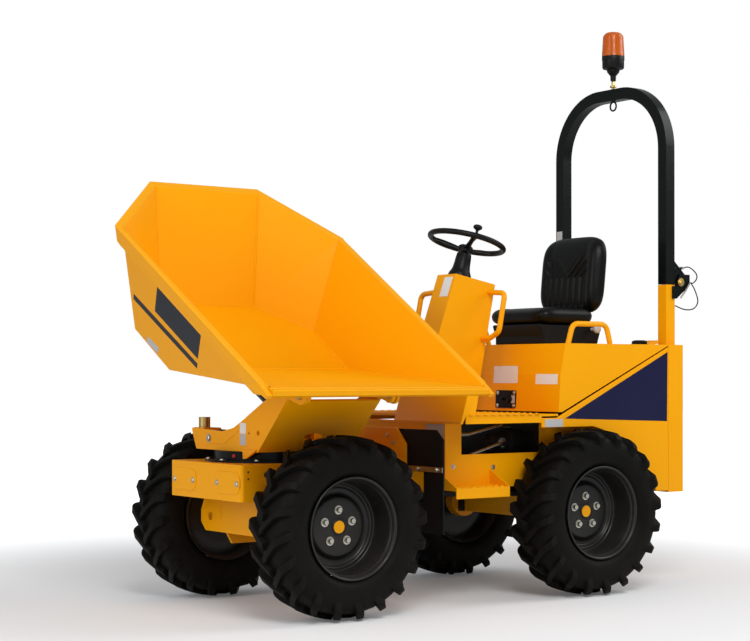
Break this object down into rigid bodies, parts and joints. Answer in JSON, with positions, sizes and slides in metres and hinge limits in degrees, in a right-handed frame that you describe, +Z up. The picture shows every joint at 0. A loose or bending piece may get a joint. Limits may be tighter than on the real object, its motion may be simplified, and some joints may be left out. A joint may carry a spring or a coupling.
{
  "type": "site dumper",
  "caption": "Articulated site dumper with a swivelling, tipping front skip, driver's seat over a rear engine, folding roll-over hoop and beacon.",
  "frame": {"origin": "on the floor under the middle of the whole machine's outline", "axes": "+X towards the machine's front, +Y towards its left, where the skip is swivelled, +Z up"},
  "size_m": [2.6996, 1.494, 2.7443],
  "materials": {
    "paint_amber": "gloss enamel",
    "paint_black": "satin enamel",
    "paint_dark": "satin enamel",
    "rubber_tread": "matt",
    "rubber_sheet": "matt",
    "steel_bare": "machined",
    "plated_steel": "polished",
    "cast_dark": "as cast",
    "plastic_black": "grained",
    "vinyl_black": "grained vinyl",
    "lens_amber": "ribbed lens"
  },
  "bodies": {
    "rear_frame": {"rear_chassis": "paint_amber", "pivot_pin": "steel_bare", "engine_block": "cast_dark", "rear_weight": "paint_amber", "wings": "paint_amber", "footplate": "paint_amber", "steps": "paint_amber", "console": "paint_amber", "handles": "paint_amber", "hoop_posts": "paint_amber", "rear_axle": "paint_black"},
    "front_frame": {"front_chassis": "paint_amber", "front_axle": "paint_black", "slew_ring_lower": "paint_dark", "flap_beam": "paint_amber", "flaps": "rubber_sheet"},
    "wheel_front_left": {"rim_front_left": "paint_dark", "tyre_front_left": "rubber_tread"},
    "wheel_front_right": {"rim_front_right": "paint_dark", "tyre_front_right": "rubber_tread"},
    "wheel_rear_left": {"rim_rear_left": "paint_dark", "tyre_rear_left": "rubber_tread"},
    "wheel_rear_right": {"rim_rear_right": "paint_dark", "tyre_rear_right": "rubber_tread"},
    "swivel": {"slew_ring_upper": "paint_dark", "swivel_frame": "paint_amber", "swivel_pins": "steel_bare"},
    "skip": {"skip_shell": "paint_amber", "skip_rim": "paint_amber", "skip_lugs": "paint_amber"},
    "tip_cylinder": {"tip_barrel": "paint_dark"},
    "tip_piston": {"tip_rod": "plated_steel"},
    "steer_cylinder": {"steer_barrel": "paint_dark"},
    "steer_piston": {"steer_rod": "plated_steel"},
    "bonnet": {"bonnet": "paint_amber", "seat_base": "plastic_black", "seat_cushion": "vinyl_black", "seat_back": "vinyl_black", "grab_rails": "paint_amber", "filler_cap": "paint_black", "control_plate": "paint_black"},
    "rops_hoop": {"rops_hoop": "paint_black", "beacon_base": "plastic_black", "beacon_dome": "lens_amber"},
    "steering_wheel": {"steering_wheel": "plastic_black"}
  },
  "joints": [
    {"name": "articulation", "type": "hinge", "parent": "rear_frame", "child": "front_frame", "pos_m": [0.00466, -0.107, 0.53], "axis": [0, 0, 1], "range_deg": [-30, 30]},
    {"name": "roll_front_left", "type": "hinge", "parent": "front_frame", "child": "wheel_front_left", "pos_m": [0.76266, 0.408, 0.38], "axis": [0, 1, 0], "continuous": true},
    {"name": "roll_front_right", "type": "hinge", "parent": "front_frame", "child": "wheel_front_right", "pos_m": [0.76266, -0.622, 0.38], "axis": [0, 1, 0], "continuous": true},
    {"name": "roll_rear_left", "type": "hinge", "parent": "rear_frame", "child": "wheel_rear_left", "pos_m": [-0.59334, 0.408, 0.38], "axis": [0, 1, 0], "continuous": true},
    {"name": "roll_rear_right", "type": "hinge", "parent": "rear_frame", "child": "wheel_rear_right", "pos_m": [-0.59334, -0.622, 0.38], "axis": [0, 1, 0], "continuous": true},
    {"name": "skip_swivel", "type": "hinge", "parent": "front_frame", "child": "swivel", "pos_m": [0.76266, -0.107, 0.68], "axis": [0, 0, 1], "range_deg": [-180, 0]},
    {"name": "skip_tip", "type": "hinge", "parent": "swivel", "child": "skip", "pos_m": [0.76266, 0.473, 0.925], "axis": [-1, 0, 0], "range_deg": [0, 60]},
    {"name": "tip_cylinder_swing", "type": "hinge", "parent": "swivel", "child": "tip_cylinder", "pos_m": [0.76266, 0.113, 0.78], "axis": [-1, 0, 0], "range_deg": [0, 64.44]},
    {"name": "tip_piston_slide", "type": "slide", "parent": "tip_cylinder", "child": "tip_piston", "axis": [0, -0.8846, 0.4664], "range_m": [0, 0.3863]},
    {"name": "steer_cylinder_swing", "type": "hinge", "parent": "rear_frame", "child": "steer_cylinder", "pos_m": [-0.24534, -0.297, 0.53], "axis": [0, 0, 1], "range_deg": [-13.1, 13.1]},
    {"name": "steer_piston_slide", "type": "slide", "parent": "steer_cylinder", "child": "steer_piston", "axis": [1, 0, 0], "range_m": [-0.0993, 0.0993]},
    {"name": "bonnet_lift", "type": "hinge", "parent": "rear_frame", "child": "bonnet", "pos_m": [-1.15534, -0.107, 1.167], "axis": [0, -1, 0], "range_deg": [0, 60]},
    {"name": "hoop_fold", "type": "hinge", "parent": "rear_frame", "child": "rops_hoop", "pos_m": [-1.32334, -0.107, 1.474], "axis": [0, -1, 0], "range_deg": [0, 95]},
    {"name": "steering_turn", "type": "hinge", "parent": "rear_frame", "child": "steering_wheel", "pos_m": [-0.29134, -0.107, 1.635], "axis": [-0.2588, 0, 0.9659], "continuous": true}
  ],
  "couplings": [
    {"joint": "tip_cylinder_swing", "follows": "skip_tip", "ratio": 1.0657},
    {"joint": "tip_piston_slide", "follows": "skip_tip", "m_per_rad": 0.36696},
    {"joint": "steer_cylinder_swing", "follows": "articulation", "ratio": 0.42631},
    {"joint": "steer_piston_slide", "follows": "articulation", "m_per_rad": 0.1877}
  ]
}
